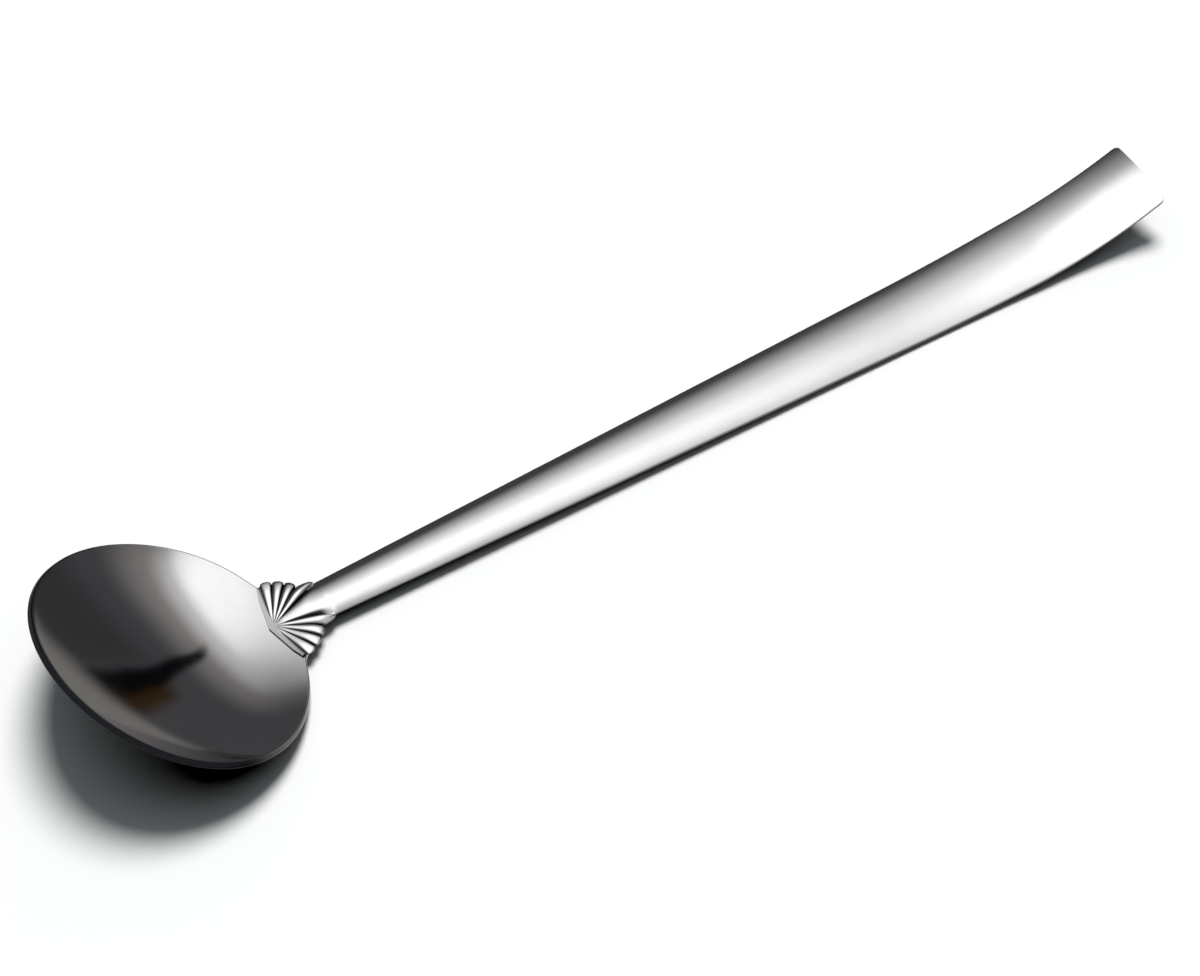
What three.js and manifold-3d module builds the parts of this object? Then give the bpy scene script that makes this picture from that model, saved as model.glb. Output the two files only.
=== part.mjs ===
import * as THREE from 'three';
import Module from 'manifold-3d';

// Tea measuring spoon, in millimetres. It lies on a table at z = 0, on a small flat under
// its bowl and on the two lower edges of its handle. The origin is the middle of that flat,
// x runs from the bowl towards the end of the handle and z points up.

// Sheet and joints
const SHEET = 0.85;
const BRAZE_GAP = 0.2;
const BRAZE_CLEARANCE = 0.05;
const BUTT_GAP = 0.2;
const EDGE_ROUND = 0.28;

// Bowl
const BOWL_LENGTH = 30.4;
const BOWL_WIDTH = 36.4;
const BOWL_SET_FORWARD = 7.7;
const REST_LENGTH = 4;
const REST_WIDTH = 8;
const LIP_HEIGHT = 16;
const RIM_SWEEP = 1.5;
const LIP_SLOPE = 48;
const FLOOR_PULL = 0.3;
const WALL_PULL = 0.45;
const NECK_PULL = 0.45;
const SIDE_TURN = 0.3;
const NECK_EASE = 0.03;
const REST_BLEND = 0.4;

// Neck of the bowl
const NECK_HEIGHT = 1.6;
const NECK_X = 5.8;
const TAB_RADIUS = 5.6;
const SHOULDER_BLEND = 16;
const TANG_WIDTH = 2;
const TANG_LAP = 1.6;
const TANG_REACH = 12;
const TANG_INSET = 0.1;

// Fluted collar
const COLLAR_RADIUS = 7;
const COLLAR_BASE = 0.2;
const COLLAR_BORDER = 0.65;
const RIB_REACH = 6.4;
const RIB_RISE = 6;
const SIDE_RIBS = 4;
const SIDE_RIB_ANGLE = 14.6;
const MIDDLE_RIB_ANGLE = 38;
const RIB_ROUNDNESS = 2.4;
const SCALLOP = 0.5;
const RIB_END = 2.2;
const WING_SHARE = 0.35;
const BRAZE_MARGIN = 0.35;

// Handle
const HANDLE_LENGTH = 124.6;
const ROOT_WIDTH = 5;
const END_WIDTH = 10.5;
const ROOT_CROWN = 0.75;
const END_CROWN = 1;
const SWEEP_LENGTH = 20;
const SWEEP_RADIUS = 250;
const CURL_LENGTH = 19.5;
const CURL_RADIUS = 60;
const CORNER_RADIUS = 0.8;

// Facet counts
const BOWL_SECTORS = 72;
const BOWL_RINGS = 13;
const RIM_FACETS = 3;
const TANG_FACETS = 8;
const SECTION_POINTS = 12;
const HANDLE_STEP = 3.6;
const CORNER_FACETS = 4;
const RIB_FACETS = 6;
const BORDER_FACETS = 14;
const COLLAR_ROWS = 10;
const BRAZE_ROWS = 5;
const CENTRE_SHARE = 0.06;

const RAD = Math.PI / 180;
const clamp01 = (t) => Math.min(1, Math.max(0, t));
const ease = (t) => clamp01(t) ** 2 * (3 - 2 * clamp01(t));

const wasm = await Module();
wasm.setup();

// Joins closed loops of equal length, one after the other, and closes the two ends
function loft(loops, firstFlat, lastFlat) {
  const count = loops[0].length;
  const positions = [];
  for (const loop of loops) {
    for (const point of loop) {
      positions.push(point.x, point.y, point.z);
    }
  }
  const index = [];
  for (let i = 0; i + 1 < loops.length; i += 1) {
    for (let j = 0; j < count; j += 1) {
      const next = (j + 1) % count;
      const a = i * count + j;
      const b = i * count + next;
      index.push(a, b, b + count, a, b + count, a + count);
    }
  }
  const last = (loops.length - 1) * count;
  for (const [a, b, c] of THREE.ShapeUtils.triangulateShape(firstFlat, [])) {
    index.push(c, b, a);
  }
  for (const [a, b, c] of THREE.ShapeUtils.triangulateShape(lastFlat, [])) {
    index.push(last + a, last + b, last + c);
  }
  const geometry = new THREE.BufferGeometry();
  geometry.setAttribute('position', new THREE.Float32BufferAttribute(positions, 3));
  geometry.setIndex(index);
  return geometry;
}

// A closed body for joining and cutting, with coincident corners merged
function toSolid(geometry) {
  const source = geometry.getAttribute('position');
  const order = geometry.index ? geometry.index.array : source.array.map((_, i) => i).slice(0, source.count);
  const known = new Map();
  const vertProperties = [];
  const triVerts = [];
  for (const i of order) {
    const corner = [source.getX(i), source.getY(i), source.getZ(i)];
    const key = corner.map((value) => value.toFixed(4)).join(',');
    if (!known.has(key)) {
      known.set(key, known.size);
      vertProperties.push(...corner);
    }
    triVerts.push(known.get(key));
  }
  const mesh = new wasm.Mesh({
    numProp: 3,
    vertProperties: new Float32Array(vertProperties),
    triVerts: new Uint32Array(triVerts),
  });
  return new wasm.Manifold(mesh);
}

function toGeometry(solid) {
  const mesh = solid.getMesh();
  const geometry = new THREE.BufferGeometry();
  geometry.setAttribute('position', new THREE.Float32BufferAttribute(mesh.vertProperties, 3));
  geometry.setIndex([...mesh.triVerts]);
  return geometry;
}

// Plan outline of the bowl, as the distance from the middle of the rest flat at each angle.
// The round of the cup and the disc of the neck tab run into each other at the shoulders.
function cupReach(angle) {
  const long = BOWL_LENGTH / 2;
  const wide = BOWL_WIDTH / 2;
  const a = (Math.cos(angle) / long) ** 2 + (Math.sin(angle) / wide) ** 2;
  const b = (2 * BOWL_SET_FORWARD * Math.cos(angle)) / long ** 2;
  const c = (BOWL_SET_FORWARD / long) ** 2 - 1;
  return (-b + Math.sqrt(b * b - 4 * a * c)) / (2 * a);
}

function tabReach(angle) {
  const offset = NECK_X * Math.sin(angle);
  if (Math.cos(angle) <= 0 || Math.abs(offset) >= TAB_RADIUS) {
    return 0;
  }
  return NECK_X * Math.cos(angle) + Math.sqrt(TAB_RADIUS ** 2 - offset ** 2);
}

function outline(angle) {
  const blended = cupReach(angle) ** SHOULDER_BLEND + tabReach(angle) ** SHOULDER_BLEND;
  return blended ** (1 / SHOULDER_BLEND);
}

function restReach(angle) {
  return 1 / Math.hypot((2 * Math.cos(angle)) / REST_LENGTH, (2 * Math.sin(angle)) / REST_WIDTH);
}

const HANDLE_X = NECK_X + COLLAR_RADIUS + BUTT_GAP;

// Side view of the rim: level at the neck, then rising faster and faster up to the front lip
const TIP_X = -BOWL_SET_FORWARD - BOWL_LENGTH / 2;
const REAR_X = BOWL_LENGTH / 2 - BOWL_SET_FORWARD;

function rimHeight(x) {
  const along = clamp01((REAR_X - x) / (REAR_X - TIP_X));
  return NECK_HEIGHT + (LIP_HEIGHT - NECK_HEIGHT) * along ** RIM_SWEEP;
}

// Middle line of the bowl's floor: from the lowest point up to the lip, and from there to the
// neck, where it ends level. Both curves start level and equally bent.
function middleCurves() {
  const start = new THREE.Vector2(0, SHEET);
  const lip = new THREE.Vector2(-TIP_X, LIP_HEIGHT);
  const neck = new THREE.Vector2(NECK_X + TAB_RADIUS, NECK_HEIGHT);
  const leaveX = FLOOR_PULL * lip.x;
  const steep = new THREE.Vector2(Math.cos(LIP_SLOPE * RAD), Math.sin(LIP_SLOPE * RAD));
  const arrive = lip.clone().addScaledVector(steep, -WALL_PULL * lip.distanceTo(start));
  const rearX = leaveX * Math.sqrt((NECK_HEIGHT - SHEET) / (arrive.y - SHEET));
  const leave = (x) => new THREE.Vector2(x, SHEET);
  const level = new THREE.Vector2(neck.x * (1 - NECK_PULL), NECK_HEIGHT);
  return {
    front: new THREE.CubicBezierCurve(start, leave(leaveX), arrive, lip),
    rear: new THREE.CubicBezierCurve(start, leave(rearX), level, neck),
  };
}

const MIDDLE = middleCurves();

function middleHeight(x) {
  const curve = x < 0 ? MIDDLE.front : MIDDLE.rear;
  let low = 0;
  let high = 1;
  for (let i = 0; i < 40; i += 1) {
    const middle = (low + high) / 2;
    if (curve.getPoint(middle).x < Math.abs(x)) {
      low = middle;
    } else {
      high = middle;
    }
  }
  return curve.getPoint(low).y;
}

// Height of the cup's inner face at a plan point: each section rises from the middle line to the
// rim. Towards the neck the sections are taken wider, so that the tab lies level.
function cupHeight(x, y) {
  const middle = middleHeight(x);
  const along = (2 * (x + BOWL_SET_FORWARD)) / BOWL_LENGTH;
  const room = 1 - along ** 2;
  const widening = NECK_EASE * Math.max(0, along) ** 3;
  const share = (room + Math.sqrt(room ** 2 + 4 * widening)) / 2;
  const square = (2 * y / BOWL_WIDTH) ** 2 / Math.max(share, 1e-9);
  return middle + (rimHeight(x) - middle) * ((1 - SIDE_TURN) * square + SIDE_TURN * square ** 2);
}

// Height of the bowl's upper face, which is flat over the rest
function bowlTop(x, y) {
  const angle = Math.atan2(y, x);
  const rest = restReach(angle);
  const share = (Math.hypot(x, y) - rest) / (outline(angle) - rest);
  return SHEET + (cupHeight(x, y) - SHEET) * ease(share / REST_BLEND);
}

function innerPoint(angle, t) {
  const rest = restReach(angle);
  const distance = rest + (outline(angle) - rest) * t;
  const x = distance * Math.cos(angle);
  const y = distance * Math.sin(angle);
  return new THREE.Vector3(x, y, bowlTop(x, y));
}

function innerNormal(angle, t) {
  const step = 1e-3;
  const back = Math.max(0, t - step);
  const ahead = Math.min(1, t + step);
  const around = innerPoint(angle + step, t).sub(innerPoint(angle - step, t));
  const outward = innerPoint(angle, ahead).sub(innerPoint(angle, back));
  return outward.cross(around).normalize();
}

// Handle: it widens up to where the curl starts
function halfWidth(along) {
  const taper = clamp01(along / (HANDLE_LENGTH - CURL_LENGTH));
  const side = (ROOT_WIDTH + (END_WIDTH - ROOT_WIDTH) * taper) / 2;
  const past = Math.max(0, along - (HANDLE_LENGTH - CORNER_RADIUS));
  return side - CORNER_RADIUS + Math.sqrt(Math.max(0, CORNER_RADIUS ** 2 - past ** 2));
}

function crownDepth(along) {
  return ROOT_CROWN + (END_CROWN - ROOT_CROWN) * clamp01(along / HANDLE_LENGTH);
}

// How far the lower edges hang below the crown line
function edgeDrop(along) {
  const slope = (2 * crownDepth(along)) / halfWidth(along);
  return crownDepth(along) + SHEET / Math.hypot(1, slope);
}

// Crown line: straight from the neck down to where the edges meet the table, then a gentle
// sweep and a tighter curl that lift the end
const CROWN_TOP = NECK_HEIGHT + BRAZE_GAP + SHEET;
const STRAIGHT = HANDLE_LENGTH - SWEEP_LENGTH - CURL_LENGTH;
const TILT = Math.atan2(edgeDrop(STRAIGHT) - CROWN_TOP, STRAIGHT);

function handlePose(along) {
  const straight = Math.min(along, STRAIGHT);
  const pose = {
    x: HANDLE_X + straight * Math.cos(TILT),
    z: CROWN_TOP + straight * Math.sin(TILT),
    lean: TILT,
  };
  const bend = (start, length, radius) => {
    const lean = pose.lean + Math.min(length, Math.max(0, along - start)) / radius;
    pose.x += radius * (Math.sin(lean) - Math.sin(pose.lean));
    pose.z += radius * (Math.cos(pose.lean) - Math.cos(lean));
    pose.lean = lean;
  };
  bend(STRAIGHT, SWEEP_LENGTH, SWEEP_RADIUS);
  bend(STRAIGHT + SWEEP_LENGTH, CURL_LENGTH, CURL_RADIUS);
  return pose;
}

// A flat strip under the crown, along its slope, with one round end
function strip(from, to, width, bottom, top) {
  const half = width / 2;
  const shape = new THREE.Shape();
  shape.moveTo(from, -half);
  shape.lineTo(to - half, -half);
  shape.absarc(to - half, 0, half, -Math.PI / 2, Math.PI / 2, false);
  shape.lineTo(from, half);
  shape.closePath();
  const settings = { depth: top - bottom, bevelEnabled: false, curveSegments: TANG_FACETS };
  const geometry = new THREE.ExtrudeGeometry(shape, settings);
  geometry.rotateY(-TILT);
  return geometry.translate(HANDLE_X, 0, bottom);
}

// Bowl: rings up the outside, over a rounded rim and down the inside, with the tang joined on
function buildBowl() {
  const angles = Array.from({ length: BOWL_SECTORS }, (_, i) => (2 * Math.PI * i) / BOWL_SECTORS);
  const steps = Array.from({ length: BOWL_RINGS + 1 }, (_, i) => i / BOWL_RINGS);
  const outer = steps.map((t) => angles.map((angle) => {
    const point = innerPoint(angle, t);
    return point.addScaledVector(innerNormal(angle, t), -SHEET);
  }));
  const turns = Array.from({ length: RIM_FACETS }, (_, i) => ((i + 0.5) * Math.PI) / RIM_FACETS);
  const rim = turns.map((turn) => angles.map((angle) => {
    const normal = innerNormal(angle, 1);
    const along = innerPoint(angle, 1).sub(innerPoint(angle, steps.at(-2))).normalize();
    const point = innerPoint(angle, 1).addScaledVector(normal, -SHEET / 2);
    point.addScaledVector(normal, (-SHEET / 2) * Math.cos(turn));
    return point.addScaledVector(along, EDGE_ROUND * Math.sin(turn));
  }));
  const inner = steps.map((t) => angles.map((angle) => innerPoint(angle, t))).reverse();
  const flat = (ring) => ring.map((point) => new THREE.Vector2(point.x, point.y));
  const cup = loft([...outer, ...rim, ...inner], flat(outer[0]), flat(inner.at(-1)));

  const root = NECK_X + TAB_RADIUS - TANG_LAP - HANDLE_X;
  const under = NECK_HEIGHT - SHEET + TANG_INSET;
  const tang = strip(root, TANG_REACH, TANG_WIDTH, under, NECK_HEIGHT - TANG_INSET);
  return toGeometry(toSolid(cup).add(toSolid(tang)));
}

// Handle section: a crowned sheet of even thickness with rounded cut edges
function handleSection(along) {
  const half = halfWidth(along);
  const depth = crownDepth(along);
  const upper = [];
  const lower = [];
  for (let i = 0; i <= SECTION_POINTS; i += 1) {
    const across = Math.sin((i / SECTION_POINTS - 0.5) * Math.PI);
    const slope = (2 * depth * across) / half;
    const normal = new THREE.Vector2(slope, 1).normalize();
    const point = new THREE.Vector2(half * across, -depth * across ** 2);
    upper.push(point);
    lower.push(point.clone().addScaledVector(normal, -SHEET));
  }
  const edge = (top, bottom, side) => {
    const across = top.clone().sub(bottom).normalize();
    const outward = new THREE.Vector2(across.y, -across.x).multiplyScalar(side * EDGE_ROUND);
    return top.clone().add(bottom).multiplyScalar(0.5).add(outward);
  };
  const right = edge(upper.at(-1), lower.at(-1), 1);
  const left = edge(upper[0], lower[0], -1);
  return [...lower, right, ...upper.reverse(), left];
}

function buildHandle() {
  const stations = [];
  const body = HANDLE_LENGTH - CORNER_RADIUS;
  const pieces = Math.ceil(body / HANDLE_STEP);
  for (let i = 0; i <= pieces; i += 1) {
    stations.push((body * i) / pieces);
  }
  for (let i = 1; i <= CORNER_FACETS; i += 1) {
    stations.push(body + CORNER_RADIUS * Math.sin((i / CORNER_FACETS) * (Math.PI / 2)));
  }
  const sections = stations.map(handleSection);
  const loops = sections.map((section, i) => {
    const { x, z, lean } = handlePose(stations[i]);
    return section.map((point) => new THREE.Vector3(
      x - point.y * Math.sin(lean),
      point.x,
      z + point.y * Math.cos(lean),
    ));
  });
  return loft(loops, sections[0], sections.at(-1));
}

// Fluted collar: a fan of ribs that spread from the neck point, with a plain border round the
// point. The middle rib and the inner edges of its neighbours end against the handle, and the
// other ribs end round, with a notch between them.
const MIDDLE_EDGE = MIDDLE_RIB_ANGLE / 2;
const FAN_EDGE = MIDDLE_EDGE + SIDE_RIBS * SIDE_RIB_ANGLE;
const BUTT_EDGE = Math.atan2(ROOT_WIDTH / 2, COLLAR_RADIUS) / RAD;

// Height of a rib across its width, from 1 on its crest to 0 in the groove beside it
function ribRound(away) {
  const within = ((away - MIDDLE_EDGE) / SIDE_RIB_ANGLE) % 1;
  const offset = away <= MIDDLE_EDGE ? away / MIDDLE_EDGE : Math.abs(2 * within - 1);
  return away < FAN_EDGE ? Math.sqrt(1 - Math.min(1, offset) ** RIB_ROUNDNESS) : 0;
}

function collarReach(degrees) {
  const away = Math.abs(degrees);
  if (away > FAN_EDGE) {
    const past = Math.min(90, away - FAN_EDGE);
    return Math.min(RIB_REACH - SCALLOP, COLLAR_BORDER / Math.sin(past * RAD));
  }
  const buttEnd = COLLAR_RADIUS / Math.cos(Math.min(away, BUTT_EDGE) * RAD);
  const roundEnd = RIB_REACH - SCALLOP * (1 - ribRound(away));
  const round = ease((away - BUTT_EDGE) / (MIDDLE_EDGE + SIDE_RIB_ANGLE - BUTT_EDGE));
  return buttEnd + (roundEnd - buttEnd) * round;
}

function collarThickness(degrees, distance) {
  const away = Math.abs(degrees);
  const wing = clamp01((away - MIDDLE_EDGE) / (FAN_EDGE - MIDDLE_EDGE));
  const height = (SHEET - COLLAR_BASE) * (1 + (WING_SHARE - 1) * wing);
  const left = clamp01((collarReach(degrees) - distance) / RIB_END);
  const fall = away <= MIDDLE_EDGE ? 1 : Math.sqrt(1 - (1 - left) ** 2);
  return COLLAR_BASE + height * ribRound(away) * ease(distance / RIB_RISE) * fall;
}

// Directions round the neck point, with facets that keep to the ribs
function fanDirections() {
  const degrees = [];
  const sweep = (from, to, count) => {
    for (let i = 0; i < count; i += 1) {
      degrees.push(from + ((to - from) * i) / count);
    }
  };
  sweep(-FAN_EDGE, -MIDDLE_EDGE, SIDE_RIBS * RIB_FACETS);
  sweep(-MIDDLE_EDGE, MIDDLE_EDGE, 2 * RIB_FACETS);
  sweep(MIDDLE_EDGE, FAN_EDGE, SIDE_RIBS * RIB_FACETS);
  sweep(FAN_EDGE, 180, BORDER_FACETS / 2);
  sweep(-180, -FAN_EDGE, BORDER_FACETS / 2);
  return degrees;
}

// A plate that follows the bowl's upper face round the neck point, between two heights over it
function neckPlate(rows, reachAt, lowerAt, upperAt) {
  const degrees = fanDirections();
  const ring = (row, heightAt) => degrees.map((degree) => {
    const share = CENTRE_SHARE + (1 - CENTRE_SHARE) * Math.sin((row / rows) * (Math.PI / 2));
    const distance = share * reachAt(degree);
    const x = NECK_X + distance * Math.cos(degree * RAD);
    const y = distance * Math.sin(degree * RAD);
    return new THREE.Vector3(x, y, bowlTop(x, y) + heightAt(degree, distance));
  });
  const lower = Array.from({ length: rows + 1 }, (_, row) => ring(row, lowerAt));
  const upper = Array.from({ length: rows + 1 }, (_, row) => ring(row, upperAt)).reverse();
  const flat = (loop) => loop.map((point) => new THREE.Vector2(point.x, point.y));
  return loft([...lower, ...upper], flat(lower[0]), flat(upper.at(-1)));
}

function buildCollar() {
  const top = (degree, distance) => BRAZE_GAP + collarThickness(degree, distance);
  return neckPlate(COLLAR_ROWS, collarReach, () => BRAZE_GAP, top);
}

// Filler metal between the neck tab and the collar, held back from the edges of both
function buildCollarBraze() {
  const reach = (degree) => Math.min(collarReach(degree), TAB_RADIUS) - BRAZE_MARGIN;
  return neckPlate(BRAZE_ROWS, reach, () => BRAZE_CLEARANCE, () => BRAZE_GAP - BRAZE_CLEARANCE);
}

// Filler metal between the tang and the underside of the handle's crown
function buildTangBraze() {
  const margin = 2 * BRAZE_CLEARANCE;
  const under = NECK_HEIGHT - TANG_INSET + BRAZE_CLEARANCE;
  return strip(margin, TANG_REACH - margin, TANG_WIDTH - margin, under, under + BRAZE_GAP - margin);
}

const steel = (color, roughness) => new THREE.MeshStandardMaterial({ color, roughness, metalness: 1 });

function piece(name, geometry, material) {
  const mesh = new THREE.Mesh(geometry, material);
  mesh.name = name;
  return mesh;
}

const spoon = new THREE.Group();
spoon.add(piece('bowl', buildBowl(), steel(0xc9c9cc, 0.12)));
spoon.add(piece('handle', buildHandle(), steel(0xc9c9cc, 0.14)));
spoon.add(piece('shell_collar', buildCollar(), steel(0xcfcfd0, 0.16)));
spoon.add(piece('collar_braze', buildCollarBraze(), steel(0xb9b49f, 0.35)));
spoon.add(piece('tang_braze', buildTangBraze(), steel(0xb9b49f, 0.35)));

export default spoon;
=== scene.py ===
"""Looks of a long-handled steel tea measuring spoon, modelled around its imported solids."""

import logging
import math
from collections.abc import Callable
from dataclasses import dataclass, field
from enum import Enum
from functools import cached_property

import bpy
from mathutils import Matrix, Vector


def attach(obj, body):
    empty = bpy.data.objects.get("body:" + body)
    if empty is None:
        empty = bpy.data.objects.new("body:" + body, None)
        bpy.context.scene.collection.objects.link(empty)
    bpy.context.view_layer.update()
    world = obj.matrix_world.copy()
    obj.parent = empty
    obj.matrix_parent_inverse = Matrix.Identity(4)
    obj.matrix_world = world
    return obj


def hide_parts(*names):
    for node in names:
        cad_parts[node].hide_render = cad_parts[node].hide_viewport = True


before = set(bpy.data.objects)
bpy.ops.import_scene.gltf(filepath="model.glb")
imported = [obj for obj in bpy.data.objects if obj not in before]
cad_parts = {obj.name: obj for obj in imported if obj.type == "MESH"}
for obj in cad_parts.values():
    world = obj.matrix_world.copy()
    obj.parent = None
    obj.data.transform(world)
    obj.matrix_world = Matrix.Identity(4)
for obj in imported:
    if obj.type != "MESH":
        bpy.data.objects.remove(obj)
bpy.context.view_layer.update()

LOG = logging.getLogger("tea_measure")
MM = 0.001
BODY = "root"

SHEET = 0.85 * MM
EDGE_ROUND = 0.26 * MM
# Width of the bowl's rim edge that is left unpolished and painted dark as shade.
EDGE_DULL_SHADE = 0.2 * MM
BRAZE_GAP = 0.2 * MM
BUTT_GAP = 0.2 * MM
NECK_HEIGHT = 1.6 * MM
BOWL_CENTRE_SHIFT = 7.7 * MM
SMOOTH_ANGLE = math.radians(40.0)
SHARP_ANGLE = math.radians(50.0)
SEARCH_STEPS = 30
TINY = 1e-9
BLACK = (0.0, 0.0, 0.0)
DISC_MIDDLE = (0.5, 0.5, 0.0)
DISC_RADIUS = 0.5

Colour = tuple[float, float, float]
Range = tuple[float, float]
Paint = Colour | bpy.types.NodeSocket
Shape = Callable[[int, int], Vector]
# Gives how unpolished a point is and how much shade is painted on it.
DullnessAndShade = Callable[[Vector, Vector], float]
Curve = tuple[Vector, Vector, Vector, Vector]


def ease(share: float) -> float:
    """Return a share from 0 to 1, smoothed so that it starts and ends level."""
    kept = min(1.0, max(0.0, share))
    return kept * kept * (3.0 - 2.0 * kept)


def blend(start: float, end: float, share: float) -> float:
    """Return the value that lies a share of the way from start to end."""
    return start + (end - start) * share


def bezier(points: Curve, share: float) -> Vector:
    """Return a point of a cubic curve.

    Args:
        points: The start, its pull, the end's pull and the end.
        share: The place along the curve, from 0 to 1.

    Returns:
        The point at that place.
    """
    start, leave, arrive, end = points
    rest = 1.0 - share
    early = start * rest**3 + leave * (3.0 * rest * rest * share)
    return early + arrive * (3.0 * rest * share * share) + end * share**3


def select_only(piece: bpy.types.Object) -> None:
    """Make one object the only selected and the active one.

    Args:
        piece: The object.
    """
    bpy.ops.object.select_all(action="DESELECT")
    piece.select_set(True)
    bpy.context.view_layer.objects.active = piece


def apply_modifier(piece: bpy.types.Object, kind: str, **settings: object) -> None:
    """Add a modifier to a piece and apply it.

    Args:
        piece: The mesh object to change.
        kind: Blender's name of the modifier's type.
        **settings: The modifier's own properties.
    """
    modifier = piece.modifiers.new(kind.title(), kind)
    for name, value in settings.items():
        setattr(modifier, name, value)
    select_only(piece)
    bpy.ops.object.modifier_apply(modifier=modifier.name)


def thicken(piece: bpy.types.Object) -> None:
    """Give a pressed face the sheet's thickness, on its lower side."""
    apply_modifier(piece, "SOLIDIFY", thickness=SHEET, offset=-1.0, use_even_offset=True)


def round_edges(piece: bpy.types.Object, width: float, facets: int) -> None:
    """Round the sharp edges of a piece.

    Args:
        piece: The mesh object to change.
        width: The most that the rounding takes off each side of an edge.
        facets: The number of facets across it.
    """
    limits = {"limit_method": "ANGLE", "angle_limit": SHARP_ANGLE}
    apply_modifier(piece, "BEVEL", width=width, segments=facets, **limits)


@dataclass(frozen=True)
class RoundBlank:
    """A flat disc of rings, ready to be pressed into a round shape.

    Attributes:
        sectors: The number of corners in each ring.
        rings: The number of rings outside the small middle face.
        middle: The radius of the middle face, where the outermost ring has radius 1.
    """

    sectors: int
    rings: int
    middle: float = 0.02

    def radius(self, ring: int) -> float:
        """Return the radius of one ring."""
        return blend(self.middle, 1.0, ring / self.rings)

    def cut(self, name: str) -> bpy.types.Object:
        """Model the disc, ring by ring, from a small circle.

        Args:
            name: The new object's name.

        Returns:
            The flat disc.
        """
        bpy.ops.object.select_all(action="DESELECT")
        bpy.ops.mesh.primitive_circle_add(vertices=self.sectors, radius=self.middle, fill_type="NGON")
        disc = bpy.context.active_object
        disc.name = name
        disc.data.name = name
        bpy.ops.object.mode_set(mode="EDIT")
        bpy.ops.mesh.select_all(action="SELECT")
        bpy.ops.mesh.select_mode(type="EDGE")
        bpy.ops.mesh.region_to_loop()
        for ring in range(1, self.rings + 1):
            wider = self.radius(ring) / self.radius(ring - 1)
            bpy.ops.mesh.extrude_edges_move()
            bpy.ops.transform.resize(value=(wider, wider, 1.0), center_override=(0.0, 0.0, 0.0))
        bpy.ops.object.mode_set(mode="OBJECT")
        return disc

    def press(self, disc: bpy.types.Object, shape: Shape) -> None:
        """Move each corner of the disc to its place on the finished shape.

        Args:
            disc: The flat disc.
            shape: Gives the place of a corner from its sector and its ring.
        """
        for vertex in disc.data.vertices:
            turn = math.atan2(vertex.co.y, vertex.co.x) / math.tau
            sector = round(turn * self.sectors) % self.sectors
            ring = round((vertex.co.xy.length - self.middle) / (1.0 - self.middle) * self.rings)
            vertex.co = shape(sector, ring)
        disc.data.update()


def close_last_ring(piece: bpy.types.Object) -> None:
    """Fill the open edge of a pressed disc and turn all its faces outwards.

    Args:
        piece: The pressed disc.
    """
    select_only(piece)
    bpy.ops.object.mode_set(mode="EDIT")
    bpy.ops.mesh.select_mode(type="EDGE")
    bpy.ops.mesh.select_all(action="DESELECT")
    bpy.ops.mesh.select_non_manifold()
    bpy.ops.mesh.edge_face_add()
    bpy.ops.mesh.select_all(action="SELECT")
    bpy.ops.mesh.normals_make_consistent(inside=False)
    bpy.ops.object.mode_set(mode="OBJECT")


class Socket:
    """A number socket of a node tree, with operators that add Math nodes."""

    def __init__(self, graph: "Graph", socket: bpy.types.NodeSocket) -> None:
        """Keep the socket and the graph that it is in."""
        self.graph = graph
        self.socket = socket

    def __add__(self, other: "Socket | float") -> "Socket":
        """Return this value plus another."""
        return self.graph.maths("ADD", self, other)

    def __sub__(self, other: "Socket | float") -> "Socket":
        """Return this value less another."""
        return self.graph.maths("SUBTRACT", self, other)

    def __mul__(self, other: "Socket | float") -> "Socket":
        """Return this value times another."""
        return self.graph.maths("MULTIPLY", self, other)

    def __pow__(self, other: "Socket | float") -> "Socket":
        """Return this value to a power."""
        return self.graph.maths("POWER", self, other)

    def __rsub__(self, other: float) -> "Socket":
        """Return a number less this value."""
        return self.graph.maths("SUBTRACT", other, self)

    __radd__ = __add__
    __rmul__ = __mul__


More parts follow.
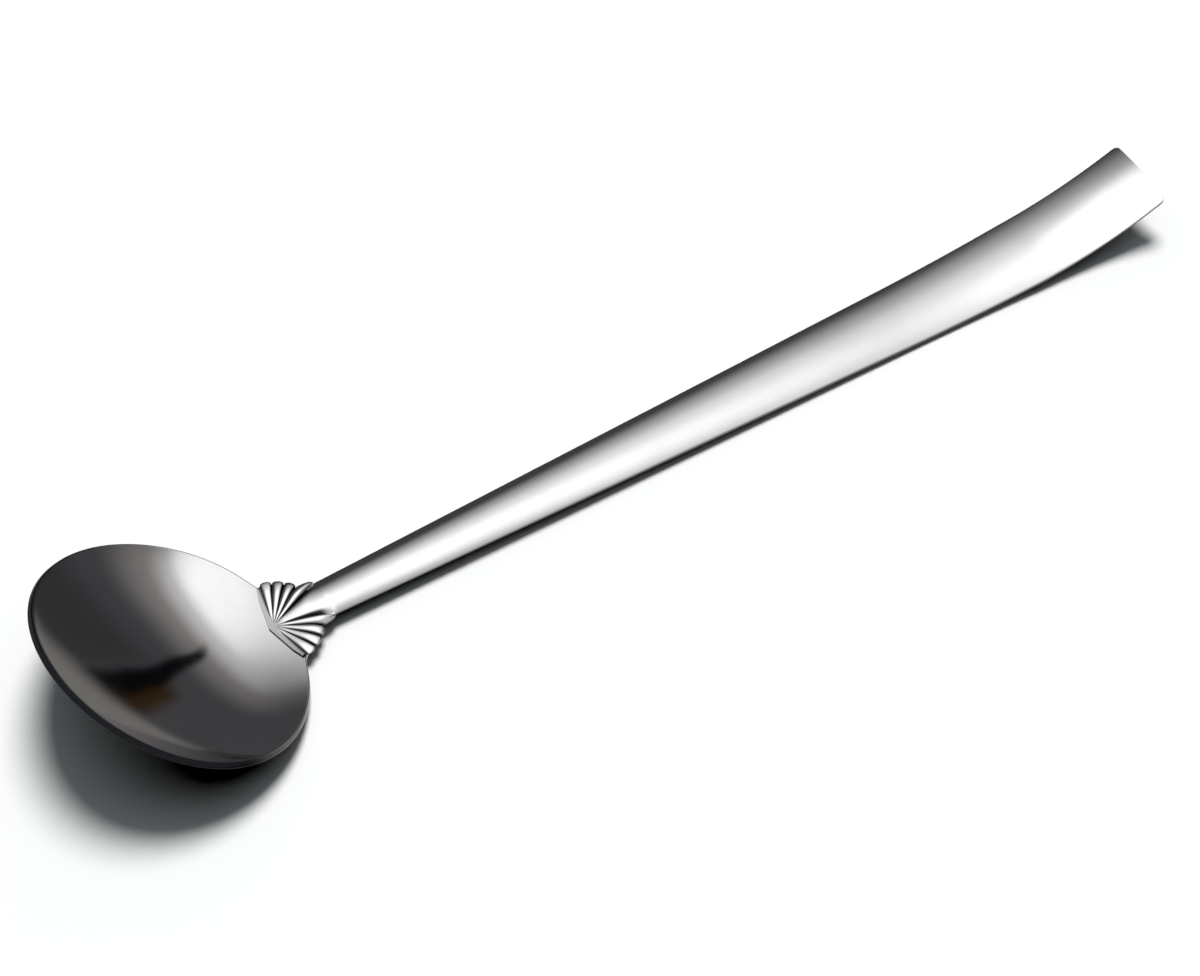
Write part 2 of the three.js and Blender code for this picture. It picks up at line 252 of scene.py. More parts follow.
class Graph:
    """Adds nodes to one node tree and links them."""

    FIRST_COLOUR = 6
    SECOND_COLOUR = 7
    MIXED_COLOUR = 2

    def __init__(self, tree: bpy.types.NodeTree) -> None:
        """Empty the tree and keep it."""
        tree.nodes.clear()
        self.tree = tree

    def node(
        self,
        kind: str,
        settings: dict[str, object] | None = None,
        inputs: dict[str | int, object] | None = None,
    ) -> bpy.types.Node:
        """Add a node, set its properties and fill its sockets.

        Args:
            kind: The node's type.
            settings: The node's own properties, which are set first.
            inputs: Values or links for its sockets, by name or number.

        Returns:
            The new node.
        """
        made = self.tree.nodes.new(kind)
        for name, value in (settings or {}).items():
            setattr(made, name, value)
        for name, value in (inputs or {}).items():
            socket = made.inputs[name]
            source = value.socket if isinstance(value, Socket) else value
            if isinstance(source, bpy.types.NodeSocket):
                self.tree.links.new(source, socket)
            else:
                socket.default_value = source
        return made

    def maths(self, operation: str, first: "Socket | float", second: "Socket | float") -> Socket:
        """Return the result of one Math node."""
        made = self.node("ShaderNodeMath", {"operation": operation}, {0: first, 1: second})
        return self.value(made)

    def value(self, node: bpy.types.Node, output: str | int = 0) -> Socket:
        """Return one output of a node as a number."""
        return Socket(self, node.outputs[output])

    def smooth(self, value: Socket, low: float, high: float) -> Socket:
        """Return a smooth step.

        Args:
            value: The number to compare.
            low: The value up to which the step is 0.
            high: The value from which it is 1.

        Returns:
            The step, from 0 to 1.
        """
        limits = {"Value": value, "From Min": low, "From Max": high}
        made = self.node("ShaderNodeMapRange", {"interpolation_type": "SMOOTHSTEP"}, limits)
        return self.value(made)

    def noise(
        self, place: bpy.types.NodeSocket, scale: float, detail: float, roughness: float = 0.5
    ) -> Socket:
        """Return a noise pattern.

        Args:
            place: The coordinates that it is laid out on.
            scale: How fine it is.
            detail: How many finer layers it has.
            roughness: How strong the finer layers are.

        Returns:
            Its value, from about 0 to about 1.
        """
        inputs = {"Vector": place, "Scale": scale, "Detail": detail, "Roughness": roughness}
        return self.value(self.node("ShaderNodeTexNoise", None, inputs))

    def mix(self, share: Socket, first: Paint, second: Paint, way: str = "MIX") -> bpy.types.NodeSocket:
        """Return a mix of two colours.

        Args:
            share: 0 for the first colour alone and 1 for the second in full.
            first: A colour or a colour socket.
            second: The other colour.
            way: Blender's name of the way that they are mixed.

        Returns:
            The colour socket of the Mix node.
        """
        inputs = {"Factor": share}
        for socket, paint in ((self.FIRST_COLOUR, first), (self.SECOND_COLOUR, second)):
            inputs[socket] = paint if isinstance(paint, bpy.types.NodeSocket) else (*paint, 1.0)
        made = self.node("ShaderNodeMix", {"data_type": "RGBA", "blend_type": way}, inputs)
        return made.outputs[self.MIXED_COLOUR]

    def metal(self, colour: bpy.types.NodeSocket, roughness: Socket, relief: bpy.types.Node) -> None:
        """Finish a material as bare metal.

        Args:
            colour: The metal's colour.
            roughness: Its roughness.
            relief: The Bump node of its relief.
        """
        metal = {"Base Color": colour, "Metallic": 1.0, "Roughness": roughness, "Normal": relief.outputs[0]}
        shader = self.node("ShaderNodeBsdfPrincipled", None, metal)
        self.node("ShaderNodeOutputMaterial", None, {"Surface": shader.outputs[0]})


def new_material(name: str) -> tuple[bpy.types.Material, Graph]:
    """Add a material without nodes.

    Args:
        name: The material's name.

    Returns:
        The material and the graph that takes its nodes.
    """
    material = bpy.data.materials.new(name)
    material.use_nodes = True
    return material, Graph(material.node_tree)


class Polish(Enum):
    """The way that the polishing marks run on a piece."""

    ALONG = "along the spoon"
    ROUND = "round the bowl"


@dataclass(frozen=True)
class PolishedSteel:
    """Bright stainless steel with fine polishing marks, faint smears, and unpolished edges and groove bottoms
    that are painted near-black as shade.

    Attributes:
        name: The material's name.
        roughness: The roughness of a place that is polished best.
        smear: How much rougher the smeared places are.
        marks: The way that the polishing marks run.
        tint: The colour of the bare metal.
        shade: The colour of its slightly darker patches.
        smear_share: How much of that darker colour the smears give. The marks give the rest.
        smear_scale: How fine the smears are.
        smear_detail: How many finer layers they have.
        smear_roughness: How strong those layers are.
        smear_range: The noise values between which a smear comes in.
        dull: The near-black colour painted as shade on cut edges and groove bottoms, which polishing doesn't
            reach.
        dull_rough: How much rougher those places are.
        stroke_scale: How fine straight marks are, along the spoon, across it and up.
        ring_scale: How fine round marks are, outwards, round the bowl and up.
        mark_detail: How many finer layers the marks have.
        mark_rough: How much the marks vary the roughness.
        mark_depth: The height of the marks.
        mark_bump: The share of that height that the shading shows.
        speck_scale: How fine the metal's grain is.
        speck_detail: How many finer layers it has.
        speck_rough: How much the grain varies the roughness.
        speck_depth: The height of the grain, against that of the marks.
    """

    name: str
    roughness: float
    smear: float
    marks: Polish
    tint: Colour = (0.655, 0.657, 0.655)
    shade: Colour = (0.60, 0.602, 0.602)
    smear_share: float = 0.7
    smear_scale: float = 95.0
    smear_detail: float = 4.0
    smear_roughness: float = 0.6
    smear_range: Range = (0.42, 0.72)
    # Near-black painted shade for cut edges and groove bottoms.
    dull: Colour = (0.02, 0.021, 0.025)
    dull_rough: float = 0.2
    stroke_scale: tuple[float, float, float] = (90.0, 5200.0, 5200.0)
    ring_scale: tuple[float, float, float] = (4200.0, 2.6, 2400.0)
    mark_detail: float = 3.0
    mark_rough: float = 0.05
    mark_depth: float = 0.0004 * MM
    mark_bump: float = 0.5
    speck_scale: float = 2600.0
    speck_detail: float = 2.0
    speck_rough: float = 0.03
    speck_depth: float = 0.4

    def mark_place(self, graph: Graph, place: bpy.types.NodeSocket) -> bpy.types.NodeSocket:
        """Stretch the texture space along the polishing marks.

        Args:
            graph: The material's graph.
            place: The surface's object coordinates.

        Returns:
            The coordinates for the marks' noise.
        """
        if self.marks is Polish.ALONG:
            stretch = {"Vector": place, "Scale": self.stroke_scale}
            return graph.node("ShaderNodeMapping", None, stretch).outputs[0]
        outwards, around, upwards = self.ring_scale
        parts = graph.node("ShaderNodeSeparateXYZ", None, {0: place})
        x = graph.value(parts, "X") + BOWL_CENTRE_SHIFT
        y = graph.value(parts, "Y")
        distance = (x * x + y * y) ** 0.5
        turn = graph.maths("ARCTAN2", y, x)
        spiral = {0: distance * outwards, 1: turn * around, 2: graph.value(parts, "Z") * upwards}
        return graph.node("ShaderNodeCombineXYZ", None, spiral).outputs[0]

    def make(self) -> bpy.types.Material:
        """Build the material.

        Returns:
            The finished material.
        """
        material, graph = new_material(self.name)
        place = graph.node("ShaderNodeTexCoord").outputs["Object"]
        marks = graph.noise(self.mark_place(graph, place), 1.0, self.mark_detail)
        cloud = graph.noise(place, self.smear_scale, self.smear_detail, self.smear_roughness)
        smears = graph.smooth(cloud, *self.smear_range)
        specks = graph.noise(place, self.speck_scale, self.speck_detail)
        # This attribute marks unpolished cut edges and groove bottoms, which are made rougher and painted
        # near-black as shade.
        dullness_and_shade = graph.value(graph.node("ShaderNodeAttribute", {"attribute_name": "dullness_and_shade"}), "Fac")

        patches = smears * self.smear_share + marks * (1.0 - self.smear_share)
        # Painted shade: the marked places take the near-black colour.
        colour = graph.mix(dullness_and_shade, graph.mix(patches, self.tint, self.shade), self.dull)
        even = self.roughness - (self.mark_rough + self.speck_rough) / 2.0
        uneven = marks * self.mark_rough + smears * self.smear + specks * self.speck_rough
        height = marks + specks * self.speck_depth
        bump = {"Strength": self.mark_bump, "Distance": self.mark_depth, "Height": height}
        relief = graph.node("ShaderNodeBump", None, bump)
        graph.metal(colour, uneven + dullness_and_shade * self.dull_rough + even, relief)
        return material


@dataclass(frozen=True)
class BrazeFiller:
    """Dull, slightly yellow filler metal with a grainy, frozen surface.

    Attributes:
        name: The material's name.
        tint: The colour of the bare metal.
        tarnish: The colour of its tarnished spots.
        roughness: The roughness of the bare metal.
        spot_rough: How much rougher the spots are.
        spot_range: The grain values between which a spot comes in.
        grain_scale: How fine the grain is.
        grain_detail: How many finer layers it has.
        grain_depth: The height of the grain.
        grain_bump: The share of that height that the shading shows.
    """

    name: str = "braze_filler"
    tint: Colour = (0.52, 0.47, 0.36)
    tarnish: Colour = (0.30, 0.25, 0.18)
    roughness: float = 0.38
    spot_rough: float = 0.25
    spot_range: Range = (0.45, 0.7)
    grain_scale: float = 1800.0
    grain_detail: float = 5.0
    grain_depth: float = 0.02 * MM
    grain_bump: float = 0.6

    def make(self) -> bpy.types.Material:
        """Build the material.

        Returns:
            The finished material.
        """
        material, graph = new_material(self.name)
        place = graph.node("ShaderNodeTexCoord").outputs["Object"]
        grains = graph.noise(place, self.grain_scale, self.grain_detail)
        spots = graph.smooth(grains, *self.spot_range)
        colour = graph.mix(spots, self.tint, self.tarnish)
        bump = {"Strength": self.grain_bump, "Distance": self.grain_depth, "Height": grains}
        relief = graph.node("ShaderNodeBump", None, bump)
        graph.metal(colour, spots * self.spot_rough + self.roughness, relief)
        return material


def finish_piece(
    piece: bpy.types.Object,
    material: bpy.types.Material,
    node: str,
    dullness_and_shade: DullnessAndShade,
) -> None:
    """Shade, dress and register one piece of the spoon.

    Args:
        piece: The finished mesh object.
        material: Its finish.
        node: The solid that the piece stands for.
        dullness_and_shade: Gives how unpolished a point is and how much near-black shade is painted on it,
            from 0 to 1, by its place and its normal.
    """
    select_only(piece)
    bpy.ops.object.shade_smooth_by_angle(angle=SMOOTH_ANGLE)
    # Store where the piece is unpolished and painted dark as shade.
    dull = piece.data.attributes.new("dullness_and_shade", "FLOAT", "POINT")
    dull.data.foreach_set("value", [dullness_and_shade(vertex.co, vertex.normal) for vertex in piece.data.vertices])
    piece.data.materials.clear()
    piece.data.materials.append(material)
    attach(piece, BODY)
    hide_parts(node)
    LOG.info("%s: %d faces, stands for %s", piece.name, len(piece.data.polygons), node)


@dataclass
class Bowl:
    """The round cup with its level neck tab and the tang inside the handle.

    Attributes:
        length: The cup's length in plan.
        width: The cup's width in plan.
        forward: How far the cup's middle lies in front of the lowest point.
        floor: The height of the inner face at the lowest point.
        lip_height: The height of the inner rim at the front.
        rim_sweep: How late the rim rises on its way to the front.
        lip_slope: The slope of the front wall at the lip, in degrees.
        floor_pull: How flat the floor starts towards the front, as a share of the reach.
        wall_pull: How steep the front wall ends, as a share of its chord.
        neck_pull: How level the floor ends at the neck, as a share of that distance.
        side_turn: How much of the side walls' rise comes close to the rim.
        neck_ease: How wide the neck's sections are taken, so that the tab lies level.
        lip_round: The radius of the rim's edges.
        lip_facets: The number of facets across that radius.
        neck_height: The height of the neck tab's upper face.
        neck_x: The middle of the tab, where the collar's ribs meet.
        tab_radius: The radius of the tab.
        shoulder_blend: How tight the corner between the cup and the tab is.
        tang_width: The width of the tang.
        tang_end: The place of the tang's end.
        tang_facets: The number of facets across each of its rounded edges.
        tang_inset: How much thinner than the sheet it is before its edges are rounded, on each face.
        blank: The disc that the cup is pressed from.
    """

    length: float = 30.8 * MM
    width: float = 36.8 * MM
    forward: float = BOWL_CENTRE_SHIFT
    floor: float = 0.74 * MM
    lip_height: float = 16.0 * MM
    rim_sweep: float = 1.5
    lip_slope: float = 48.0
    floor_pull: float = 0.3
    wall_pull: float = 0.45
    neck_pull: float = 0.45
    side_turn: float = 0.3
    neck_ease: float = 0.03
    lip_round: float = 0.38 * MM
    lip_facets: int = 6
    neck_height: float = NECK_HEIGHT
    neck_x: float = 5.8 * MM
    tab_radius: float = 5.6 * MM
    shoulder_blend: float = 16.0
    tang_width: float = 2.0 * MM
    tang_end: float = 25.0 * MM
    tang_facets: int = 10
    tang_inset: float = 0.1 * MM
    blank: RoundBlank = RoundBlank(sectors=192, rings=56)

    def cup_reach(self, angle: float) -> float:
        """Return the distance from the lowest point to the cup's outline, in plan.

        Args:
            angle: The direction from the lowest point, in radians.

        Returns:
            The distance.
        """
        long = self.length / 2.0
        wide = self.width / 2.0
        a = (math.cos(angle) / long) ** 2 + (math.sin(angle) / wide) ** 2
        b = 2.0 * self.forward * math.cos(angle) / long**2
        c = (self.forward / long) ** 2 - 1.0
        return (-b + math.sqrt(b * b - 4.0 * a * c)) / (2.0 * a)

    def tab_reach(self, angle: float) -> float:
        """Return the distance from the lowest point to the tab's outline, in plan.

        Args:
            angle: The direction from the lowest point, in radians.

        Returns:
            The distance, or 0 where that direction misses the tab.
        """
        offset = self.neck_x * math.sin(angle)
        if math.cos(angle) <= 0.0 or abs(offset) >= self.tab_radius:
            return 0.0
        return self.neck_x * math.cos(angle) + math.sqrt(self.tab_radius**2 - offset**2)

    def reach(self, angle: float) -> float:
        """Return the distance from the lowest point to the rim, with round shoulders.

        Args:
            angle: The direction from the lowest point, in radians.

        Returns:
            The distance in plan.
        """
        cup = self.cup_reach(angle)
        tab = self.tab_reach(angle) / cup
        return cup * (1.0 + tab**self.shoulder_blend) ** (1.0 / self.shoulder_blend)

    def rim_height(self, x: float) -> float:
        """Return the height of the inner rim.

        Args:
            x: The place along the spoon.

        Returns:
            The height over the table.
        """
        rear = self.length / 2.0 - self.forward
        along = min(1.0, max(0.0, (rear - x) / self.length))
        return blend(self.neck_height, self.lip_height, along**self.rim_sweep)

    @cached_property
    def front_curve(self) -> Curve:
        """Return the floor's middle line from the lowest point to the lip.

        Returns:
            The curve in the distance from the lowest point and the height.
        """
        reach = self.length / 2.0 + self.forward
        end = Vector((reach, self.lip_height))
        pull = self.wall_pull * (end - Vector((0.0, self.floor))).length
        slope = math.radians(self.lip_slope)
        arrive = end - Vector((math.cos(slope), math.sin(slope))) * pull
        return Vector((0.0, self.floor)), Vector((self.floor_pull * reach, self.floor)), arrive, end

    @cached_property
    def rear_curve(self) -> Curve:
        """Return the floor's middle line from the lowest point to the neck, bent alike at its start.

        Returns:
            The curve in the distance from the lowest point and the height.
        """
        start, leave, arrive, _ = self.front_curve
        end = Vector((self.neck_x + self.tab_radius, self.neck_height))
        rise = self.neck_height - self.floor
        even = leave.x * math.sqrt(rise / (arrive.y - self.floor))
        return start, Vector((even, self.floor)), Vector((end.x * (1.0 - self.neck_pull), end.y)), end

    def middle_line(self, x: float) -> float:
        """Return the height of the floor on the spoon's middle line.

        Args:
            x: The place along the spoon.

        Returns:
            The height, held level beyond the rim.
        """
        curve = self.front_curve if x < 0.0 else self.rear_curve
        low, high = 0.0, 1.0
        for _ in range(SEARCH_STEPS):
            share = (low + high) / 2.0
            if bezier(curve, share).x < abs(x):
                low = share
            else:
                high = share
        return bezier(curve, low).y

    def top(self, x: float, y: float) -> float:
        """Return the height of the inner face.

        Args:
            x: The place along the spoon.
            y: The place across it.

        Returns:
            The height over the table.
        """
        middle = self.middle_line(x)
        along = (x + self.forward) / (self.length / 2.0)
        room = 1.0 - along * along
        ease_out = self.neck_ease * max(0.0, along) ** 3
        half_squared = (self.width / 2.0) ** 2 * (room + math.sqrt(room * room + 4.0 * ease_out)) / 2.0
        square = y * y / max(half_squared, TINY)
        rise = square * (1.0 - self.side_turn) + square * square * self.side_turn
        return middle + (self.rim_height(x) - middle) * rise

    def inner_face(self, sector: int, ring: int) -> Vector:
        """Return a corner of the inner face.

        Args:
            sector: The corner's number in its ring.
            ring: The number of its ring.

        Returns:
            The corner's place.
        """
        angle = math.tau * sector / self.blank.sectors
        distance = self.reach(angle) * self.blank.radius(ring)
        x, y = distance * math.cos(angle), distance * math.sin(angle)
        return Vector((x, y, self.top(x, y)))

    def dullness_and_shade(self, point: Vector, _: Vector) -> float:
        """Return how unpolished a point is and how much dark shade is painted on it: only the cut edge of the
        rim, in front of the lowest point.
        """
        left = self.reach(math.atan2(point.y, point.x)) - point.xy.length
        # The rim's cut edge is painted dark as shade only in front of the lowest point.
        return ease(1.0 - left / EDGE_DULL_SHADE) * ease(-point.x / self.forward)

    def model_tang(self) -> bpy.types.Object:
        """Model the tang as a strip with rounded edges.

        All corners of the strip stay selected, so the bevel takes every edge and not only the two at its end.

        Returns:
            The tang's mesh object.
        """
        start = self.neck_x + self.tab_radius - SHEET
        thickness = SHEET - 2.0 * self.tang_inset
        bpy.ops.object.select_all(action="DESELECT")
        middle = ((start + self.tang_end) / 2.0, 0.0, self.neck_height - SHEET / 2.0)
        size = (self.tang_end - start, self.tang_width, thickness)
        bpy.ops.mesh.primitive_cube_add(size=1.0, location=middle, scale=size)
        bpy.ops.object.transform_apply(location=True, rotation=True, scale=True)
        tang = bpy.context.active_object
        for edge in tang.data.edges:
            ends = [tang.data.vertices[i].co for i in edge.vertices]
            upright = abs(ends[0].z - ends[1].z) > thickness / 2.0
            edge.select = upright and min(end.x for end in ends) > middle[0]
        bpy.ops.object.mode_set(mode="EDIT")
        bpy.ops.mesh.select_mode(type="EDGE")
        bpy.ops.mesh.bevel(offset=self.tang_width / 2.0, segments=self.tang_facets)
        bpy.ops.object.mode_set(mode="OBJECT")
        return tang

    def build(self) -> bpy.types.Object:
        """Model the cup from a disc of sheet and join the tang to it.

        Returns:
            The bowl's mesh object.
        """
        bowl = self.blank.cut("spoon_bowl")
        self.blank.press(bowl, self.inner_face)
        thicken(bowl)
        for vertex in bowl.data.vertices:
            vertex.co.z = max(0.0, vertex.co.z)
        round_edges(bowl, self.lip_round, self.lip_facets)
        tang = self.model_tang()
        select_only(bowl)
        tang.select_set(True)
        bpy.ops.object.join()
        return bowl

    def dress(self, bowl: bpy.types.Object, material: bpy.types.Material) -> None:
        """Give the bowl its finish."""
        finish_piece(bowl, material, "bowl", self.dullness_and_shade)


@dataclass
class Handle:
    """The pressed handle: a crowned strip that widens and sweeps up at its end.

    Attributes:
        root_x: The place of its root end.
        crown_top: The height of the crown line at the root.
        length: Its length along the crown line.
        root_width: Its width at the root.
        end_width: Its width at the end.
        root_crown: How far its edges hang below the crown line at the root.
        end_crown: The same at the end.
        sweep_length: The length of the gentle sweep.
        sweep_radius: The radius of the sweep.
        curl_length: The length of the curl after it.
        curl_radius: The radius of the curl.
        corner_radius: The radius of the end's corners.
        rows: The number of sections.
        columns: The number of facets across a section.
        corner_share: The share of the sections that make the corners.
        edge_facets: The number of facets across a rounded edge.
        edge_from: How far to the side a face is turned where the unpolished edge, painted dark as shade,
            starts.
        edge_fade: The further turn over which it gets fully unpolished and dark.
    """

    root_x: float = 13.0 * MM
    crown_top: float = NECK_HEIGHT + BRAZE_GAP + SHEET
    length: float = 124.6 * MM
    root_width: float = 5.45 * MM
    end_width: float = 10.95 * MM
    root_crown: float = 0.75 * MM
    end_crown: float = 1.0 * MM
    sweep_length: float = 20.0 * MM
    sweep_radius: float = 250.0 * MM
    curl_length: float = 19.5 * MM
    curl_radius: float = 60.0 * MM
    corner_radius: float = 0.8 * MM
    rows: int = 160
    columns: int = 40
    corner_share: float = 0.05
    edge_facets: int = 4
    edge_from: float = 0.35
    edge_fade: float = 0.3

    @property
    def straight(self) -> float:
        """Return the length of the straight part."""
        return self.length - self.sweep_length - self.curl_length

    def along_of(self, share: float) -> float:
        """Return the place of a section, with the sections close-set at the corners.

        Args:
            share: The section's number as a share of all sections.

        Returns:
            The distance from the root.
        """
        body = self.length - self.corner_radius
        left = 1.0 - self.corner_share
        if share <= left:
            return body * share / left
        return body + self.corner_radius * math.sin((share - left) / self.corner_share * math.pi / 2.0)

    def side(self, along: float) -> float:
        """Return half the width of a section, before its corners are rounded."""
        taper = min(1.0, along / (self.length - self.curl_length))
        return blend(self.root_width, self.end_width, taper) / 2.0

    def half_width(self, along: float) -> float:
        """Return half the width of a section."""
        past = max(0.0, along - (self.length - self.corner_radius))
        return self.side(along) - self.corner_radius + math.sqrt(max(0.0, self.corner_radius**2 - past**2))

    def crown_depth(self, along: float) -> float:
        """Return how far the edges of a section hang below its crown."""
        return blend(self.root_crown, self.end_crown, along / self.length)

    def tilt(self) -> float:
        """Return the slope that sets the lower edges on the table where the sweep starts.

        Returns:
            The slope in radians, below 0 where the handle runs down.
        """
        slope = 2.0 * self.crown_depth(self.straight) / self.half_width(self.straight)
        drop = self.crown_depth(self.straight) + SHEET / math.hypot(1.0, slope)
        return math.atan2(drop - self.crown_top, self.straight)

    def face(self, along: float, across: float) -> Vector:
        """Return a point of the upper face.

        Args:
            along: The distance from the root.
            across: The place across the section, from -1 to 1.

        Returns:
            The point.
        """
        lean = self.tilt()
        reached = min(along, self.straight)
        x = self.root_x + reached * math.cos(lean)
        z = self.crown_top + reached * math.sin(lean)
        start = self.straight
        bends = ((self.sweep_length, self.sweep_radius), (self.curl_length, self.curl_radius))
        for length, radius in bends:
            after = lean + min(length, max(0.0, along - start)) / radius
            x += radius * (math.sin(after) - math.sin(lean))
            z += radius * (math.cos(lean) - math.cos(after))
            lean = after
            start += length
        y = self.half_width(along) * across
        drop = self.crown_depth(along) * (y / self.side(along)) ** 2
        return Vector((x + drop * math.sin(lean), y, z - drop * math.cos(lean)))

    def crown_height(self, y: float) -> float:
        """Return the height of the root's upper face at a distance from the middle."""
        across = min(1.0, abs(y) / (self.root_width / 2.0))
        return self.crown_top - self.root_crown * across * across

    def dullness_and_shade(self, _: Vector, normal: Vector) -> float:
        """Return how unpolished a point is and how much dark shade is painted on it: only the cut edges,
        which face sideways.
        """
        # Sideways-facing faces are painted dark as shade.
        return ease((abs(normal.y) - self.edge_from) / self.edge_fade)

    def build(self) -> bpy.types.Object:
        """Model the handle from a strip of sheet.

        Returns:
            The handle's mesh object.
        """
        bpy.ops.object.select_all(action="DESELECT")
        bpy.ops.mesh.primitive_grid_add(x_subdivisions=self.rows, y_subdivisions=self.columns, size=2.0)
        handle = bpy.context.active_object
        handle.name = "spoon_handle"
        handle.data.name = "spoon_handle"
        for vertex in handle.data.vertices:
            vertex.co = self.face(self.along_of((vertex.co.x + 1.0) / 2.0), vertex.co.y)
        thicken(handle)
        round_edges(handle, EDGE_ROUND, self.edge_facets)
        return handle

    def dress(self, handle: bpy.types.Object, material: bpy.types.Material) -> None:
        """Give the handle its finish."""
        finish_piece(handle, material, "handle", self.dullness_and_shade)


@dataclass
class ShellCollar:
    """The fluted fan over the neck: ribs that spread from one point, with a plain border round it.

    Attributes:
        bowl: The bowl that it is seated on.
        handle: The handle that it ends against.
        radius: The distance from the neck point to the handle.
        base: The thickness in the grooves and at the border.
        border: The width of the plain border.
        middle: The radius of the small middle face, as a share of the reach.
        rib_reach: The reach of the free ribs.
        rib_rise: The distance over which the ribs grow to full height.
        side_ribs: The number of ribs on each side of the middle one.
        side_angle: The angle that a side rib takes up, in degrees.
        middle_angle: The angle that the middle rib takes up, in degrees.
        roundness: How full the ribs' section is.
        scallop: The depth of the notches between the ribs' ends.
        rib_end: The length over which a free rib rounds down at its end.
        wing_share: The height of the outermost ribs, against the middle one.
        merge: The length over which the middle rib takes on the handle's section.
        groove_from: How far the square of a rib's height has fallen where the unpolished groove, painted dark
            as shade, starts.
        groove_fade: The further fall over which the groove gets fully unpolished and dark.
        groove_start: The distance from the neck point where the grooves start to be unpolished and painted
            dark.
        groove_rise: The distance over which they get as unpolished and dark as they are.
        groove_end: The distance from the handle over which they are bright again.
        border_dull_shade: How unpolished the border and the neck point are, and how much dark shade is
            painted on them.
        side_facets: The number of facets across a side rib.
        middle_facets: The number of facets across the middle rib, and along the border.
        rows: The number of rings on the upper face.
    """

    bowl: Bowl
    handle: Handle
    radius: float = 7.0 * MM
    base: float = 0.2 * MM
    border: float = 0.65 * MM
    middle: float = 0.04
    rib_reach: float = 6.4 * MM
    rib_rise: float = 6.0 * MM
    side_ribs: int = 4
    side_angle: float = 14.6
    middle_angle: float = 38.0
    roundness: float = 2.4
    scallop: float = 0.5 * MM
    rib_end: float = 2.2 * MM
    wing_share: float = 0.35
    merge: float = 3.5 * MM
    groove_from: float = 0.25
    groove_fade: float = 0.4
    groove_start: float = 0.6 * MM
    groove_rise: float = 1.2 * MM
    groove_end: float = 1.6 * MM
    border_dull_shade: float = 0.5
    side_facets: int = 16
    middle_facets: int = 48
    rows: int = 36

    @property
    def middle_edge(self) -> float:
        """Return the angle of the middle rib's grooves."""
        return self.middle_angle / 2.0

    @property
    def fan_edge(self) -> float:
        """Return the angle of the fan's outer edges."""
        return self.middle_edge + self.side_ribs * self.side_angle

    @property
    def butt_edge(self) -> float:
        """Return the angle up to which the fan ends against the handle."""
        return math.degrees(math.atan2(self.handle.root_width / 2.0, self.radius))

    def directions(self) -> list[float]:
        """Return the directions of the facets round the neck point.

        Returns:
            The directions in degrees, from one outer edge of the fan once round.
        """
        free = self.side_ribs * self.side_facets
        stops = [
            (-self.fan_edge, -self.middle_edge, free),
            (-self.middle_edge, self.middle_edge, self.middle_facets),
            (self.middle_edge, self.fan_edge, free),
            (self.fan_edge, 360.0 - self.fan_edge, self.middle_facets),
        ]
        return [blend(low, high, i / count) for low, high, count in stops for i in range(count)]

    def rib_round(self, away: float) -> float:
        """Return the height across a rib.

        Args:
            away: The angle from the spoon's middle line, in degrees.

        Returns:
            The height, from 1 on the crest to 0 in the groove beside it.
        """
        if away >= self.fan_edge:
            return 0.0
        within = (away - self.middle_edge) / self.side_angle % 1.0
        offset = away / self.middle_edge if away <= self.middle_edge else abs(2.0 * within - 1.0)
        return math.sqrt(1.0 - min(1.0, offset) ** self.roundness)

    def reach(self, away: float) -> float:
        """Return the distance from the neck point to the fan's outline.

        Args:
            away: The angle from the spoon's middle line, in degrees.

        Returns:
            The distance in plan.
        """
        if away > self.fan_edge:
            past = min(90.0, away - self.fan_edge)
            return min(self.rib_reach - self.scallop, self.border / math.sin(math.radians(past)))
        butt = (self.radius + BUTT_GAP) / math.cos(math.radians(min(away, self.butt_edge)))
        free = self.rib_reach - self.scallop * (1.0 - self.rib_round(away))
        first_groove = self.middle_edge + self.side_angle
        return blend(butt, free, ease((away - self.butt_edge) / (first_groove - self.butt_edge)))

    def thickness(self, away: float, distance: float) -> float:
        """Return the collar's height over its seat.

        Args:
            away: The angle from the spoon's middle line, in degrees.
            distance: The distance from the neck point.

        Returns:
            The height of the upper face over the lower one.
        """
        wing = max(0.0, (away - self.middle_edge) / (self.fan_edge - self.middle_edge))
        height = (SHEET - self.base) * blend(1.0, self.wing_share, min(1.0, wing))
        left = min(1.0, max(0.0, (self.reach(away) - distance) / self.rib_end))
        fall = 1.0 if away <= self.middle_edge else math.sqrt(1.0 - (1.0 - left) ** 2)
        return self.base + height * self.rib_round(away) * ease(distance / self.rib_rise) * fall

    def corner(self, degrees: float, ring: int) -> Vector:
        """Return a corner of the collar: its upper face first, then its lower one.

        Args:
            degrees: The direction from the neck point.
            ring: The ring, counted over the upper face and back under the lower one.

        Returns:
            The corner's place.
        """
        away = abs((degrees + 180.0) % 360.0 - 180.0)
        row = min(ring, 2 * self.rows + 1 - ring)
        share = blend(self.middle, 1.0, math.sin(row / self.rows * math.pi / 2.0))
        distance = share * self.reach(away)
        x = self.bowl.neck_x + distance * math.cos(math.radians(degrees))
        y = distance * math.sin(math.radians(degrees))
        seat = self.bowl.top(x, y) + BRAZE_GAP
        if ring > self.rows:
            return Vector((x, y, seat))
        top = seat + self.thickness(away, distance)
        if away <= self.butt_edge:
            near = ease(1.0 - (self.reach(away) - distance) / self.merge)
            top = blend(top, max(seat + self.base, self.handle.crown_height(y)), near)
        return Vector((x, y, top))

